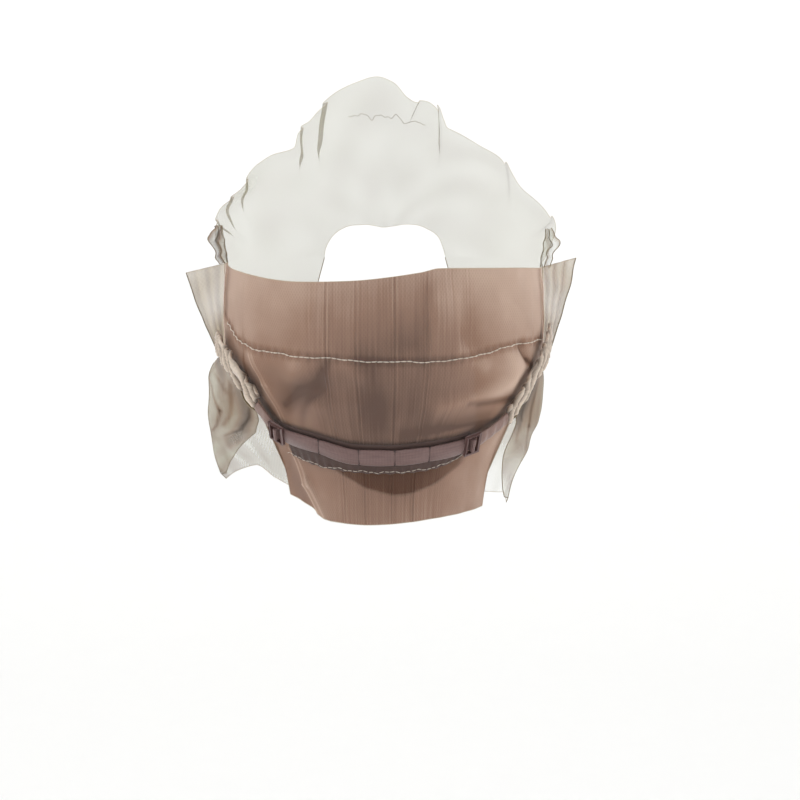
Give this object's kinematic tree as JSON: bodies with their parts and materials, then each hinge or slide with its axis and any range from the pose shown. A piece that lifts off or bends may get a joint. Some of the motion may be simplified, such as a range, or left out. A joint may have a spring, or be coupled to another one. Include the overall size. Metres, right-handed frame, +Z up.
{
  "type": "wig cap",
  "caption": "Sheer lace wig cap with an open crown, a loose front lace, flared side seams and an adjustable elastic strap across the nape.",
  "frame": {"origin": "inside the head that the cap fits, midway between the temples and midway from forehead to back of head", "axes": "+Z up, +Y towards the face, +X towards the wearer's right"},
  "size_m": [0.1945, 0.1937, 0.2161],
  "materials": {
    "lace_net": "sheer tan nylon net",
    "ribbon": "flat mauve-brown tape",
    "satin_elastic": "satin mauve elastic",
    "ruched_elastic": "gathered beige elastic",
    "slider_plastic": "moulded mauve plastic"
  },
  "bodies": {
    "root": {"back_lace": "lace_net", "front_lace": "lace_net", "casing_lace": "lace_net", "gather_left": "lace_net", "gather_right": "lace_net", "nape_ribbon": "ribbon", "looped_strap": "satin_elastic", "tape_left": "satin_elastic", "tape_right": "satin_elastic", "elastic_left": "ruched_elastic", "elastic_right": "ruched_elastic", "slider_left": "slider_plastic", "slider_right": "slider_plastic"}
  },
  "joints": []
}
